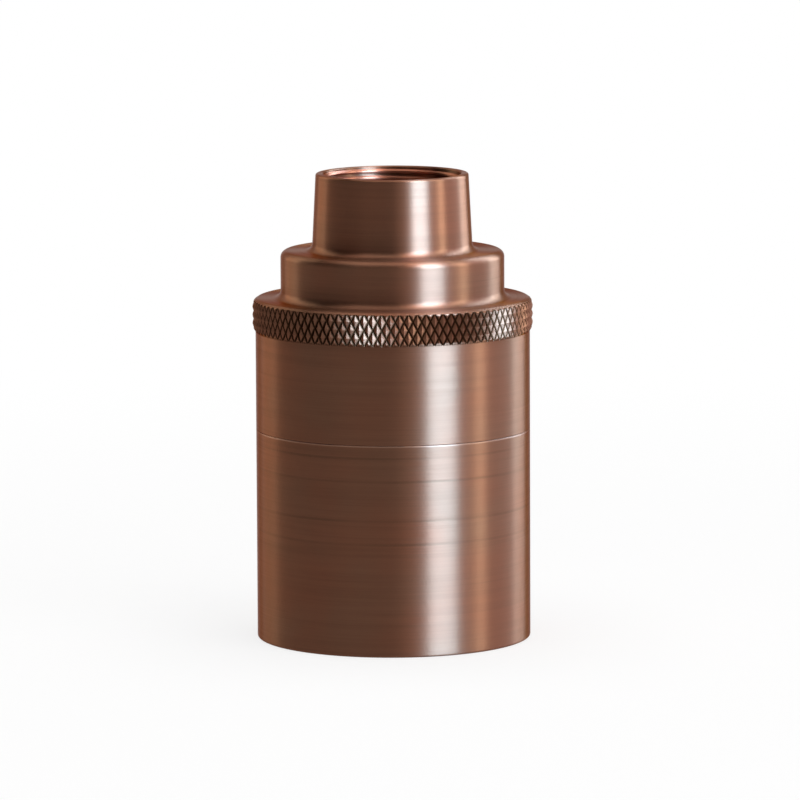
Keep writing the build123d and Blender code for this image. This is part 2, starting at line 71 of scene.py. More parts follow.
# %% Sizes of the two shells, in millimetres
BODY_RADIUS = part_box("sleeve")[1].x / MM
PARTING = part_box("cap")[0].z / MM
CAP_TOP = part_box("cap")[1].z / MM
KNURL_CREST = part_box("cap")[1].x / MM
SPIGOT_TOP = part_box("sleeve")[1].z / MM
SKIRT_WALL = 1.55
JOINT_THREAD = 0.45
SPIGOT_WALL = 0.9
SLEEVE_WALL = 1.6
LEDGE_DROP = 2.2
SKIRT_HEIGHT = 14.32
COLLAR_HEIGHT = 4.88
SHOULDER_WIDTH = 3.7
STEP_HEIGHT = 6.9
INNER_LEDGE = 1.05
SHOULDER_WALL = 1.4
STEP_WALL = 1.5
CEILING_WALL = 2.8
FLANGE_RISE = 3.0
NECK_BORE = 10.0

SKIRT_BORE = BODY_RADIUS - SKIRT_WALL
SPIGOT_RADIUS = SKIRT_BORE - JOINT_THREAD
SPIGOT_BORE = SPIGOT_RADIUS - SPIGOT_WALL
SLEEVE_BORE = BODY_RADIUS - SLEEVE_WALL
LEDGE = PARTING - LEDGE_DROP
KNURL_BOTTOM = PARTING + SKIRT_HEIGHT
SHOULDER = KNURL_BOTTOM + COLLAR_HEIGHT
STEP_RADIUS = BODY_RADIUS - SHOULDER_WIDTH
STEP_TOP = SHOULDER + STEP_HEIGHT
CHAMBER_RADIUS = SKIRT_BORE - INNER_LEDGE
CHAMBER_TOP = SHOULDER - SHOULDER_WALL
STEP_CHAMBER_RADIUS = STEP_RADIUS - STEP_WALL
CEILING = STEP_TOP - CEILING_WALL
FLANGE_TOP = SPIGOT_TOP + FLANGE_RISE
print(f"sleeve {BODY_RADIUS:.2f} mm in radius, parting line at {PARTING:.2f}, top at {CAP_TOP:.2f}")
print(f"knurl from {KNURL_BOTTOM:.2f} to {SHOULDER:.2f}, crest radius {KNURL_CREST:.2f}")

# %% [markdown]
# ## Recipes made of nodes
# Materials and Geometry Nodes are both trees of small steps, and wiring them by hand hides what they
# say. Here the output of a node is a term that can be added, multiplied and compared, and each such
# step becomes a Math node. So a recipe reads like its formula.


# %% A helper for node trees
class Term:
    """The output of a node, for use in a formula."""

    def __init__(self, recipe, socket):
        self.recipe = recipe
        self.socket = socket

    def __add__(self, other):
        return self.recipe.math("ADD", self, other)

    def __sub__(self, other):
        return self.recipe.math("SUBTRACT", self, other)

    def __rsub__(self, other):
        return self.recipe.math("SUBTRACT", other, self)

    def __mul__(self, other):
        return self.recipe.math("MULTIPLY", self, other)

    def __truediv__(self, other):
        return self.recipe.math("DIVIDE", self, other)

    def __gt__(self, other):
        return self.recipe.math("GREATER_THAN", self, other)

    def __lt__(self, other):
        return self.recipe.math("LESS_THAN", self, other)


class Recipe:
    """Adds nodes to one tree and wires them."""

    def __init__(self, tree):
        self.tree = tree
        tree.nodes.clear()

    def feed(self, node, inputs):
        for socket, value in dict(inputs).items():
            if isinstance(value, Term):
                self.tree.links.new(value.socket, node.inputs[socket])
            else:
                node.inputs[socket].default_value = value

    def node(self, kind, inputs=(), **settings):
        node = self.tree.nodes.new(kind)
        for name, value in settings.items():
            setattr(node, name, value)
        self.feed(node, inputs)
        return node

    def add(self, kind, inputs=(), output=0, **settings):
        """Add a node and return one of its outputs as a term."""
        return Term(self, self.node(kind, inputs, **settings).outputs[output])

    def math(self, operation, *values):
        return self.add("ShaderNodeMath", enumerate(values), operation=operation)

    def map(self, value, low, high, to_low=0.0, to_high=1.0, smooth=False):
        shape = "SMOOTHSTEP" if smooth else "LINEAR"
        ends = {"Value": value, "From Min": low, "From Max": high, "To Min": to_low, "To Max": to_high}
        return self.add("ShaderNodeMapRange", ends, "Result", interpolation_type=shape)

    def split(self, vector):
        parts = self.node("ShaderNodeSeparateXYZ", {"Vector": vector}).outputs
        return [Term(self, part) for part in parts]

    def join(self, x=0.0, y=0.0, z=0.0):
        return self.add("ShaderNodeCombineXYZ", {"X": x, "Y": y, "Z": z})


# %% [markdown]
# ## Metal with a turned finish
# Both shells are copper, turned on a lathe, darkened to an antique brown and brushed while they
# spin. So every scratch runs round the axis: a fine band of lines up a wall, and rings on a flat
# shoulder. One number makes both: the height minus the distance from the axis, which changes all
# the way along the outline. Noise that is stretched hard along that number, and hardly at all
# round the axis, gives the lines, and it has no seam. A picture of scratches would show a seam.

# %% Shared steps of every material
MOST = (0.3, 0.7)  # most values of a noise lie here
MIDDLE = (0.35, 0.65)


def new_material(name):
    material = bpy.data.materials.new(name)
    material.use_nodes = True
    recipe = Recipe(material.node_tree)
    shader = recipe.node("ShaderNodeBsdfPrincipled")
    recipe.node("ShaderNodeOutputMaterial", {"Surface": Term(recipe, shader.outputs[0])})
    return material, recipe, shader


def place_mm(recipe):
    """Object coordinates in millimetres."""
    coordinates = recipe.add("ShaderNodeTexCoord", output="Object")
    return recipe.add("ShaderNodeMapping", {"Vector": coordinates, "Scale": (1 / MM,) * 3})


def noise(recipe, place, scale=1.0, detail=2.0, roughness=0.5):
    inputs = {"Vector": place, "Scale": scale, "Detail": detail, "Roughness": roughness}
    return recipe.add("ShaderNodeTexNoise", inputs, "Fac")


def turning_lines(recipe, x, y, along, around, fineness, detail=3.0):
    """Noise drawn out round the axis: fineness is lines a millimetre along the outline."""
    stretched = recipe.join(x * around, y * around, along * fineness)
    return noise(recipe, stretched, detail=detail, roughness=0.6)


def blend(recipe, amount, first, second):
    return recipe.add("ShaderNodeMix", {0: amount, 6: first, 7: second}, output=2, data_type="RGBA")


def bump(recipe, height, distance, normal=None):
    inputs = {"Height": height, "Distance": distance * MM, "Strength": 1.0}
    if normal:
        inputs["Normal"] = normal
    return recipe.add("ShaderNodeBump", inputs)


# %% [markdown]
# ### Antique copper
# Lines this fine blur a reflection up and down but leave it sharp from side to side, which the
# anisotropic socket does. The specular tint is what the metal turns to where it is seen at a slant.
# Left white, it would make the rims grey, so it is coppery, and more so the nearer the rim. The
# sleeve has a few darker rings where the tool paused. Just below its upper edge, a thin band of
# lighter copper is a painted highlight, where that edge would catch the light. The knurl keeps
# patina in its grooves, and wear has levelled the sides of its points.

# %% Tones and marks of the copper
COPPER = (0.153, 0.070, 0.0425, 1)
COPPER_RED = (0.167, 0.066, 0.0385, 1)
COPPER_BROWN = (0.104, 0.049, 0.029, 1)
PATINA = (0.028, 0.011, 0.004, 1)
BARE_COPPER = (0.36, 0.12, 0.07, 1)
BARE_SHARE = 0.6
HAIR = {"around": 0.07, "fineness": 9.0}
BAND = {"around": 0.03, "fineness": 1.6, "detail": 5.0}
WANDER = {"around": 0.06, "fineness": 0.2}
CLOUD_SCALE = 0.09
BAND_BROWN = (0.45, 0.75, 0.0, 0.35)
HAIR_BROWN = (0.35, 0.75, 0.0, 0.3)
HAIR_ROUGH = (0.33, 0.38)
BAND_ROUGH = (0.0, 0.03)
BAND_DEPTH = 0.6
LINE_DEPTH = 0.004
GRAZING_TINT = (0.60, 0.49, 0.46, 1)
RIM_TINT = (0.50, 0.29, 0.225, 1)
RIM_FACING = (0.7, 0.86)
TOOL_RINGS = (28.9, 25.5, 19.8, 16.4)
RING_WIDTH = 0.26
RING_CORE = 0.3
RING_FADES = (0.4, 0.6, 0.4, 1.0)
RING_DARKNESS = 0.65
RING_DEPTH = 1.5
# A painted highlight: the colour, place, width and strength of a thin lighter band just below the sleeve's
# upper edge.
PAINTED_HIGHLIGHT_COPPER = (0.50, 0.30, 0.22, 1)
HIGHLIGHT_DROP = 0.08
EDGE_WIDTH = 0.16
HIGHLIGHT_AMOUNT = 0.24
EDGE_CORE = 0.5
WORN_LEVEL = 0.25
WORN_SPAN = (0.5, 0.75)
GROOVE_EDGE = (0.62, 0.88)
GROOVE_DARKNESS = 0.94
GROOVE_ROUGH = 0.2
BRUSHED = 0.93
BRUSHED_ROUND = 0.25


# %% Worn sides of the knurl
def worn_level(recipe):
    """The normal of a side whose tilt up or down has been worn away. Flat tops keep theirs."""
    x, y, z = recipe.split(recipe.add("ShaderNodeNewGeometry", output="Normal"))
    kept = recipe.map(recipe.math("ABSOLUTE", z), *WORN_SPAN, WORN_LEVEL, 1.0, smooth=True)
    return recipe.add("ShaderNodeVectorMath", {0: recipe.join(x, y, z * kept)}, operation="NORMALIZE")


# %% Antique copper
def antique_copper(name, rings=(), highlight_edge=None, knurl=False, inside=False):
    material, recipe, shader = new_material(name)
    place = place_mm(recipe)
    x, y, z = recipe.split(place)
    along = z - recipe.math("SQRT", x * x + y * y)
    hair = turning_lines(recipe, x, y, along, **HAIR)
    band = turning_lines(recipe, x, y, along, **BAND)
    wander = turning_lines(recipe, x, y, along, **WANDER)
    cloud = noise(recipe, place, CLOUD_SCALE)
    colour = blend(recipe, recipe.map(cloud, *MIDDLE), COPPER, COPPER_RED)
    colour = blend(recipe, recipe.map(band, *BAND_BROWN), colour, COPPER_BROWN)
    colour = blend(recipe, recipe.map(hair, *HAIR_BROWN), colour, COPPER_BROWN)
    rough = recipe.map(hair, *MOST, *HAIR_ROUGH) + recipe.map(band, *MOST, *BAND_ROUGH)
    height = hair + band * BAND_DEPTH
    for ring in rings:
        off_ring = recipe.math("ABSOLUTE", z - ring)
        mark = recipe.map(off_ring, RING_WIDTH * RING_CORE, RING_WIDTH, 1.0, 0.0, smooth=True)
        mark = mark * recipe.map(wander, *RING_FADES)
        colour = blend(recipe, mark * RING_DARKNESS, colour, COPPER_BROWN)
        height = height - mark * RING_DEPTH
    # A painted highlight: a thin band of lighter copper just below the sleeve's upper edge.
    if highlight_edge:
        off_edge = recipe.math("ABSOLUTE", z - highlight_edge)
        painted_highlight = recipe.map(off_edge, EDGE_WIDTH * EDGE_CORE, EDGE_WIDTH, HIGHLIGHT_AMOUNT, 0.0, smooth=True)
        colour = blend(recipe, painted_highlight, colour, PAINTED_HIGHLIGHT_COPPER)
    if knurl:
        depth = recipe.add("ShaderNodeAttribute", output="Fac", attribute_name="groove")
        groove = recipe.map(depth, *GROOVE_EDGE, 0.0, GROOVE_DARKNESS, smooth=True)
        colour = blend(recipe, groove, colour, PATINA)
        rough = rough + groove * GROOVE_ROUGH
    if inside:
        colour = blend(recipe, BARE_SHARE, colour, BARE_COPPER)
    facing = recipe.add("ShaderNodeLayerWeight", {"Blend": 0.5}, "Facing")
    recipe.feed(shader, {
        "Base Color": colour,
        "Roughness": rough,
        "Normal": bump(recipe, height, LINE_DEPTH, worn_level(recipe) if knurl else None),
        "Metallic": 1.0,
        "Specular Tint": blend(recipe, recipe.map(facing, *RIM_FACING), GRAZING_TINT, RIM_TINT),
        "Anisotropic": BRUSHED,
        "Anisotropic Rotation": BRUSHED_ROUND,
    })
    return material


cap_copper = antique_copper("antique_copper_cap")
# The sleeve gets its tool rings and a painted highlight just below its upper edge.
sleeve_copper = antique_copper("antique_copper_sleeve", TOOL_RINGS, PARTING - HIGHLIGHT_DROP)
knurl_copper = antique_copper("antique_copper_knurl", knurl=True)
thread_copper = antique_copper("antique_copper_thread", inside=True)
print("coppers:", len(bpy.data.materials))

# %% [markdown]
# ## What the inside is made of
# The insert is glazed porcelain: a white body with small grey specks under a gloss that isn't quite
# level. The contacts are plain brass, dulled a little by handling. The screws are zinc plated, the
# spring is drawn steel wire, and a red fibre ring keeps the porcelain off the metal. One function
# makes all three metals, because they differ only in colour and polish.

# %% Tones of the inside
GLAZE = (0.86, 0.845, 0.80, 1)
GLAZE_SHADE = (0.80, 0.775, 0.71, 1)
SPECK = (0.32, 0.27, 0.22, 1)
FIBRE = (0.36, 0.10, 0.06, 1)
FIBRE_SHADE = (0.22, 0.06, 0.04, 1)
SCRATCH_STRETCH = (3.0, 2.4, 7.5)
# Light tone, dark tone, stain and roughness.
METALS = {
    "plain_brass": ((0.76, 0.56, 0.27, 1), (0.66, 0.46, 0.20, 1), (0.42, 0.28, 0.12, 1), 0.26),
    "zinc_plated_steel": ((0.66, 0.66, 0.63, 1), (0.55, 0.55, 0.54, 1), (0.50, 0.46, 0.36, 1), 0.3),
    "spring_wire": ((0.50, 0.50, 0.51, 1), (0.36, 0.36, 0.38, 1), (0.28, 0.25, 0.22, 1), 0.28),
}


# %% Porcelain
def porcelain(name):
    material, recipe, shader = new_material(name)
    place = place_mm(recipe)
    waves = noise(recipe, place, 0.16)
    specks = recipe.add("ShaderNodeTexVoronoi", {"Vector": place, "Scale": 0.8}, "Distance")
    colour = blend(recipe, recipe.map(waves, *MIDDLE), GLAZE, GLAZE_SHADE)
    colour = blend(recipe, recipe.map(specks, 0.03, 0.07, 0.35, 0.0), colour, SPECK)
    recipe.feed(shader, {
        "Base Color": colour,
        "Roughness": recipe.map(waves, *MOST, 0.12, 0.24),
        "Normal": bump(recipe, waves, 0.15),
        "Subsurface Weight": 0.08,
        "Subsurface Scale": 0.001,
        "Coat Weight": 0.5,
        "Coat Roughness": 0.06,
    })
    return material


# %% Plain metals and fibre
def plain_metal(name, light, dark, stain, roughness):
    """Rolled or turned metal: fine scratches, slow clouds of tarnish and a few darker stains."""
    material, recipe, shader = new_material(name)
    place = place_mm(recipe)
    drawn = recipe.add("ShaderNodeMapping", {"Vector": place, "Scale": SCRATCH_STRETCH})
    scratches = noise(recipe, drawn, detail=4.0, roughness=0.7)
    cloud = noise(recipe, place, 0.25, detail=4.0)
    colour = blend(recipe, recipe.map(scratches, *MOST), light, dark)
    recipe.feed(shader, {
        "Base Color": blend(recipe, recipe.map(cloud, 0.5, 0.75, 0.0, 0.7), colour, stain),
        "Roughness": recipe.map(cloud, *MOST, roughness - 0.06, roughness + 0.12),
        "Normal": bump(recipe, scratches, 0.006),
        "Metallic": 1.0,
    })
    return material


def fibre(name):
    material, recipe, shader = new_material(name)
    strands = noise(recipe, place_mm(recipe), 2.5, detail=6.0)
    recipe.feed(shader, {
        "Base Color": blend(recipe, recipe.map(strands, *MOST), FIBRE, FIBRE_SHADE),
        "Roughness": recipe.map(strands, *MOST, 0.6, 0.85),
        "Normal": bump(recipe, strands, 0.03),
    })
    return material


glazed_porcelain = porcelain("glazed_porcelain")
brass, zinc, spring_steel = (plain_metal(name, *tones) for name, tones in METALS.items())
red_fibre = fibre("red_fibre")
print("materials:", len(bpy.data.materials))

# %% [markdown]
# ## Turning a shell
# A lathe cuts one outline all the way round, so a turned piece is an outline of radius and height
# with a rounding at each corner. The helper replaces a rounded corner with the arc that touches
# both of its sides, and turns the outline about the axis. A point is added close to each end of an
# arc: it keeps the shading of the long wall level. The mesh is closed, because the outline is: it
# goes up the outside and comes down the inside.

# %% The lathe
TURN_STEPS = 256
ARC_STEP = radians(9)
GUARD = 0.12
ON_AXIS = 1e-6
SMOOTH_ANGLE = radians(28)


def linked(name, data):
    """A new object in the scene."""
    thing = bpy.data.objects.new(name, data)
    bpy.context.scene.collection.objects.link(thing)
    return thing


def evaluated_mesh(thing):
    """What an object's modifiers make of it, as a plain mesh."""
    return bpy.data.meshes.new_from_object(thing.evaluated_get(bpy.context.evaluated_depsgraph_get()))


def as_mesh(form, name):
    bmesh.ops.recalc_face_normals(form, faces=form.faces)
    mesh = bpy.data.meshes.new(name)
    form.to_mesh(mesh)
    form.free()
    return mesh


# %% Rounded corners
def rounded(outline):
    """Corner points of a closed outline, with an arc in place of each corner that has a rounding."""
    points = []
    for index, (radius, height, rounding) in enumerate(outline):
        corner = Vector((radius, height))
        if not rounding:
            points.append(corner)
            continue
        before = Vector(outline[index - 1][:2]) - corner
        after = Vector(outline[(index + 1) % len(outline)][:2]) - corner
        half = before.angle(after) / 2
        reach = rounding / tan(half)
        guard_before = min(GUARD, (before.length - reach) / 4)
        guard_after = min(GUARD, (after.length - reach) / 4)
        before.normalize()
        after.normalize()
        centre = corner + (before + after).normalized() * (rounding / sin(half))
        start = corner + before * reach - centre
        end = corner + after * reach - centre
        turn = pi - 2 * half
        if start.x * end.y - start.y * end.x < 0:
            turn = -turn
        steps = max(2, ceil(abs(turn) / ARC_STEP))
        points.append(centre + start + before * guard_before)
        for step in range(steps + 1):
            points.append(centre + Matrix.Rotation(turn * step / steps, 2) @ start)
        points.append(centre + end + after * guard_after)
    return points


# %% Turning an outline
def lathe_mesh(name, outline, steps=TURN_STEPS):
    """Turn a closed outline about the Z axis. A point on the axis becomes a single vertex."""
    form = bmesh.new()
    angles = [2 * pi * step / steps for step in range(steps)]
    rings = []
    for point in rounded(outline):
        reach, height = point.x * MM, point.y * MM
        if point.x < ON_AXIS:
            rings.append([form.verts.new((0, 0, height))] * steps)
        else:
            rings.append([form.verts.new((reach * cos(a), reach * sin(a), height)) for a in angles])
    for low, high in zip(rings, rings[1:] + rings[:1]):
        for step in range(steps):
            following = (step + 1) % steps
            corners = dict.fromkeys((low[step], low[following], high[following], high[step]))
            if len(corners) > 2:
                form.faces.new(corners)
    return as_mesh(form, name)


# %% Cutting and finishing
def take_away(mesh, cutter):
    """Cut one closed mesh out of another, and drop the cutter."""
    work, tool = linked("work", mesh), linked("tool", cutter)
    cut = work.modifiers.new("cut", "BOOLEAN")
    cut.object = tool
    cut.operation = "DIFFERENCE"
    cut.solver = "EXACT"
    result = evaluated_mesh(work)
    for thing in (work, tool):
        bpy.data.objects.remove(thing)
    return result


def finished(name, mesh, material, body, nodes=(), smooth=SMOOTH_ANGLE):
    """Put a finished mesh into the scene on its body, and hide the CAD nodes that it replaces."""
    mesh.materials.clear()
    mesh.materials.append(material)
    mesh.polygons.foreach_set("use_smooth", [True] * len(mesh.polygons))
    mesh.set_sharp_from_angle(angle=smooth)
    piece = linked(name, mesh)
    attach(piece, body)
    if nodes:
        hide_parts(*nodes)
    triangles = sum(len(face.vertices) - 2 for face in mesh.polygons)
    print(f"{name}: {triangles} triangles on {body}")
    return piece


# %% [markdown]
# ## The cap
# One outline gives the cap: skirt, collar core, shoulder, step, tapered neck, and inside the bore
# and two chambers. The collar is turned a little under size here, because the knurl comes next as
# a band of its own. A small blind hole in the ceiling takes the earth screw.

# %% Cap
COLLAR_CORE = BODY_RADIUS - 0.15
COLLAR_FOOT = KNURL_BOTTOM + 0.15
COLLAR_ROUNDING = 1.1
HIP_IN = 0.05
HIP_DROP = 0.35
COLLAR_ARC_RADIUS = KNURL_CREST - COLLAR_ROUNDING
COLLAR_ARC_BOTTOM = SHOULDER - COLLAR_ROUNDING
CORNER_FILLET = 1.1
STEP_ROUNDING = 1.0
LIP_ROUNDING = 0.3
INNER_FILLET = 0.5
INNER_EDGE = 0.2
MOUTH_CHAMFER = 0.15
MOUTH_ROUNDING = 0.05
SKIRT_CHAMFER = 0.35
NECK_TOP_RADIUS = NECK_BORE + 1.13
NECK_FOOT_RADIUS = NECK_BORE + 1.7
EARTH_RADIUS = STEP_CHAMBER_RADIUS - 2.7
EARTH_HOLE_RADIUS = 1.5
EARTH_HOLE_DEPTH = 2.0
CAP_BREAK = 0.1

cap_outline = [
    (BODY_RADIUS - CAP_BREAK, PARTING, 0.0),
    (BODY_RADIUS, PARTING + CAP_BREAK, 0.0),
    (BODY_RADIUS, KNURL_BOTTOM, 0.0),
    (COLLAR_CORE, COLLAR_FOOT, 0.0),
    (COLLAR_CORE, COLLAR_ARC_BOTTOM, 0.0),
    (COLLAR_CORE - HIP_IN, SHOULDER - HIP_DROP, 0.0),
    (COLLAR_ARC_RADIUS, SHOULDER, 0.0),
    (STEP_RADIUS, SHOULDER, CORNER_FILLET),
    (STEP_RADIUS, STEP_TOP, STEP_ROUNDING),
    (NECK_FOOT_RADIUS, STEP_TOP, CORNER_FILLET),
    (NECK_TOP_RADIUS, CAP_TOP, LIP_ROUNDING),
    (NECK_BORE + MOUTH_CHAMFER, CAP_TOP, MOUTH_ROUNDING),
    (NECK_BORE, CAP_TOP - MOUTH_CHAMFER, 0.0),
    (NECK_BORE, CEILING, INNER_EDGE),
    (STEP_CHAMBER_RADIUS, CEILING, INNER_FILLET),
    (STEP_CHAMBER_RADIUS, CHAMBER_TOP, INNER_EDGE),
    (CHAMBER_RADIUS, CHAMBER_TOP, INNER_FILLET),
    (CHAMBER_RADIUS, FLANGE_TOP, 0.0),
    (SKIRT_BORE, FLANGE_TOP, 0.0),
    (SKIRT_BORE, PARTING + SKIRT_CHAMFER, 0.0),
    (SKIRT_BORE + SKIRT_CHAMFER, PARTING, 0.0),
]
earth_hole = lathe_mesh("earth_hole", [
    (0, CEILING - 1, 0),
    (EARTH_HOLE_RADIUS, CEILING - 1, 0),
    (EARTH_HOLE_RADIUS, CEILING + EARTH_HOLE_DEPTH, 0),
    (0, CEILING + EARTH_HOLE_DEPTH, 0),
], steps=40)
earth_hole.transform(Matrix.Translation((0, EARTH_RADIUS * MM, 0)))
cap_mesh = take_away(lathe_mesh("copper_cap", cap_outline), earth_hole)
finished("copper_cap", cap_mesh, cap_copper, "cap_body", ["cap"])

# %% [markdown]
# ## The sleeve
# The sleeve is a plain tube with a lightly rounded rim. Its spigot, the thinner ring on top, goes
# up into the cap and carries the thread that joins them.

# %% Sleeve
SLEEVE_BREAK = 0.04
RIM_ROUNDING = 0.3
RIM_CHAMFER = 0.4
CHAMFER_ROUNDING = 0.08
SPIGOT_ROUNDING = 0.25
SPIGOT_EDGE = 0.1
LEDGE_FILLET = 0.15
LEDGE_EDGE = 0.4

sleeve_outline = [
    (BODY_RADIUS, 0.0, RIM_ROUNDING),
    (BODY_RADIUS, PARTING - SLEEVE_BREAK, 0.0),
    (BODY_RADIUS - SLEEVE_BREAK, PARTING, 0.0),
    (SPIGOT_RADIUS, PARTING, 0.0),
    (SPIGOT_RADIUS, SPIGOT_TOP, SPIGOT_ROUNDING),
    (SPIGOT_BORE, SPIGOT_TOP, SPIGOT_EDGE),
    (SPIGOT_BORE, LEDGE, LEDGE_FILLET),
    (SLEEVE_BORE, LEDGE, LEDGE_EDGE),
    (SLEEVE_BORE, RIM_CHAMFER, 0.0),
    (SLEEVE_BORE + RIM_CHAMFER, 0.0, CHAMFER_ROUNDING),
]
sleeve_mesh = lathe_mesh("copper_sleeve", sleeve_outline)
finished("copper_sleeve", sleeve_mesh, sleeve_copper, "sleeve_body", ["sleeve"])

# %% [markdown]
# ## Geometry Nodes for what follows a rule
# A thread and a knurl are rules, not sketches: a ridge that climbs by one pitch a turn, and two
# sets of grooves that cross. Both are written once as a tree with named sizes. Each starts from a
# flat grid that is rolled into a closed ring: the near rows become the worked face, the far rows
# its hidden back, and points that meet are merged. A modifier runs the tree, its result is taken as a
# plain mesh, and the modifier is dropped.

# %% Running a tree
SEAM = 0.002


def new_tree(name, sizes):
    """A Geometry Nodes tree with a named input for each size. Whole numbers become integers."""
    tree = bpy.data.node_groups.new(name, "GeometryNodeTree")
    recipe = Recipe(tree)
    for size, value in sizes.items():
        kind = "NodeSocketInt" if isinstance(value, int) else "NodeSocketFloat"
        tree.interface.new_socket(size, in_out="INPUT", socket_type=kind).default_value = value
    tree.interface.new_socket("Material", in_out="INPUT", socket_type="NodeSocketMaterial")
    tree.interface.new_socket("Geometry", in_out="OUTPUT", socket_type="NodeSocketGeometry")
    sockets = recipe.node("NodeGroupInput").outputs
    return recipe, {socket.name: Term(recipe, socket) for socket in sockets}


def end_tree(recipe, geometry, material):
    real = recipe.add("GeometryNodeRealizeInstances", {"Geometry": geometry})
    dressed = recipe.add("GeometryNodeSetMaterial", {"Geometry": real, "Material": material})
    recipe.node("NodeGroupOutput", {"Geometry": dressed})


def flat_grid(recipe, width, columns, rows):
    """A flat grid, and for each of its points the place across it and the row."""
    inputs = {"Size X": width, "Size Y": rows, "Vertices X": columns + 1, "Vertices Y": rows + 1}
    grid = recipe.add("GeometryNodeMeshGrid", inputs, "Mesh")
    x, y, z = recipe.split(recipe.add("GeometryNodeInputPosition"))
    return grid, x + width / 2, y + rows / 2


def pick(recipe, test, otherwise, chosen):
    inputs = {"Switch": test, "False": otherwise, "True": chosen}
    return recipe.add("GeometryNodeSwitch", inputs, input_type="FLOAT")


def roll_up(recipe, grid, angle, radius, height, material):
    """Bend the grid into a ring, close its seams and end the tree."""
    x, y = radius * recipe.math("COSINE", angle), radius * recipe.math("SINE", angle)
    ring = {"Geometry": grid, "Position": recipe.join(x, y, height)}
    rolled = recipe.add("GeometryNodeSetPosition", ring)
    merge = {"Geometry": rolled, "Distance": SEAM * MM}
    end_tree(recipe, recipe.add("GeometryNodeMergeByDistance", merge), material)


def grown(name, tree, sizes, material):
    """The plain mesh that a tree makes with these sizes, its faces outward."""
    holder = linked(name, bpy.data.meshes.new(name))
    grower = holder.modifiers.new(name, "NODES")
    grower.node_group = tree
    sockets = [item for item in tree.interface.items_tree if item.in_out == "INPUT"]
    identifiers = {socket.name: socket.identifier for socket in sockets}
    for size, value in dict(sizes, Material=material).items():
        grower[identifiers[size]] = value
    holder.update_tag()
    mesh = evaluated_mesh(holder)
    holder.modifiers.remove(grower)
    bpy.data.objects.remove(holder)
    form = bmesh.new()
    form.from_mesh(mesh)
    bmesh.ops.recalc_face_normals(form, faces=form.faces)
    print(f"{name}: {sum(edge.is_boundary for edge in form.edges)} open edges")
    form.to_mesh(mesh)
    form.free()
    return mesh


# %% [markdown]
# ### The diamond knurl
# The knurl is rolled: two hard wheels press crossing V grooves into the collar, and what is left
# between them stands up as four-sided points, taller than they are wide. The height of the metal
# is the lower of two triangle waves that climb opposite ways. The turned outline of the collar then
# trims the points, at the rounded shoulder above and the small chamfer below, just as on the real
# piece. Each cell of the grid is split along its groove, so that the points have clean flat sides.
# How deep a point of the mesh lies in a groove is stored with it, for the patina of the material.

# %% Knurled band
DIAMONDS = 99
CELLS_UP = 4
CELL_STEPS = 5
CELL_HEIGHT = 1.2
ARC_ROWS = 5
KNURL_DEPTH = 0.39
FOOT_SLOPE = 0.6
BAND_BACK = 0.85
BACK_FOOT = 0.3
BACK_HEAD = 0.5
BLUNT_TIP = 0.97
GROOVE_FADE = 0.05
FOOT_FADE = 0.1
FOOT_PATINA = 0.75
KNURL_SMOOTH = radians(18)

recipe, size = new_tree("diamond_knurl", {
    "Diamonds": DIAMONDS,
    "Steps": CELL_STEPS,
    "Cells up": CELLS_UP,
    "Arc rows": ARC_ROWS,
    "Bottom": KNURL_BOTTOM * MM,
    "Cell height": CELL_HEIGHT * MM,
    "Crest radius": KNURL_CREST * MM,
    "Depth": KNURL_DEPTH * MM,
    "Rounding": COLLAR_ROUNDING * MM,
    "Shoulder": SHOULDER * MM,
    "Foot radius": BODY_RADIUS * MM,
    "Foot slope": FOOT_SLOPE,
    "Back": BAND_BACK * MM,
})
columns = size["Diamonds"] * 2 * size["Steps"]
point_rows = size["Cells up"] * size["Steps"]
face_rows = point_rows + size["Arc rows"]
grid, column, row = flat_grid(recipe, columns, columns, face_rows + 3)
cell_across = column / size["Steps"]
cell_up = row / size["Steps"]
cell_sum = recipe.math("FLOOR", cell_across) + recipe.math("FLOOR", cell_up)
leaning_left = recipe.math("MODULO", cell_sum, 2) > 0.5
for lean, method in ((1 - leaning_left, "FIXED"), (leaning_left, "FIXED_ALTERNATE")):
    halved = {"Mesh": grid, "Selection": lean}
    grid = recipe.add("GeometryNodeTriangulate", halved, quad_method=method)

# %% [markdown]
# The rows go straight up the points, then round the arc of the shoulder.

# %% Knurl: height of each row
arc_foot = size["Shoulder"] - size["Rounding"]
point_top = size["Bottom"] + size["Cells up"] * size["Cell height"]
arc_start = recipe.math("ARCSINE", (point_top - arc_foot) / size["Rounding"])
arc_share = recipe.map(row - point_rows, 0.0, size["Arc rows"])
arc_angle = recipe.map(arc_share, 0.0, 1.0, arc_start, pi / 2)
arc_height = arc_foot + size["Rounding"] * recipe.math("SINE", arc_angle)
wall_height = size["Bottom"] + cell_up * size["Cell height"]
face_height = pick(recipe, row > point_rows + 0.5, wall_height, arc_height)

# %% [markdown]
# The turned outline trims the points, above and below.

# %% Knurl: turned outline
rise = recipe.math("MAXIMUM", face_height - arc_foot, 0)
squared = recipe.math("POWER", size["Rounding"], 2) - recipe.math("POWER", rise, 2)
arc_reach = recipe.math("SQRT", recipe.math("MAXIMUM", squared, 0))
shoulder_edge = size["Crest radius"] - size["Rounding"] + arc_reach
foot_edge = size["Foot radius"] + (face_height - size["Bottom"]) * size["Foot slope"]
turned_edge = recipe.math("MINIMUM", shoulder_edge, foot_edge)

# %% [markdown]
# A point is the lower of two waves that climb opposite ways, with its tip a little blunt.

# %% Knurl: points
climb = (face_height - size["Bottom"]) / size["Cell height"]
waves = []
for slant in (cell_across + climb, cell_across - climb):
    phase = recipe.math("FRACT", slant * 0.5)
    waves.append(1 - recipe.math("ABSOLUTE", phase * 2 - 1))
point = recipe.math("MINIMUM", recipe.math("MINIMUM", *waves), BLUNT_TIP)
root_radius = size["Crest radius"] - size["Depth"]
knurled = root_radius + point * size["Depth"]
face_radius = recipe.math("MINIMUM", turned_edge, knurled)

# %% [markdown]
# Patina stays deep in a groove, and where the foot is trimmed.

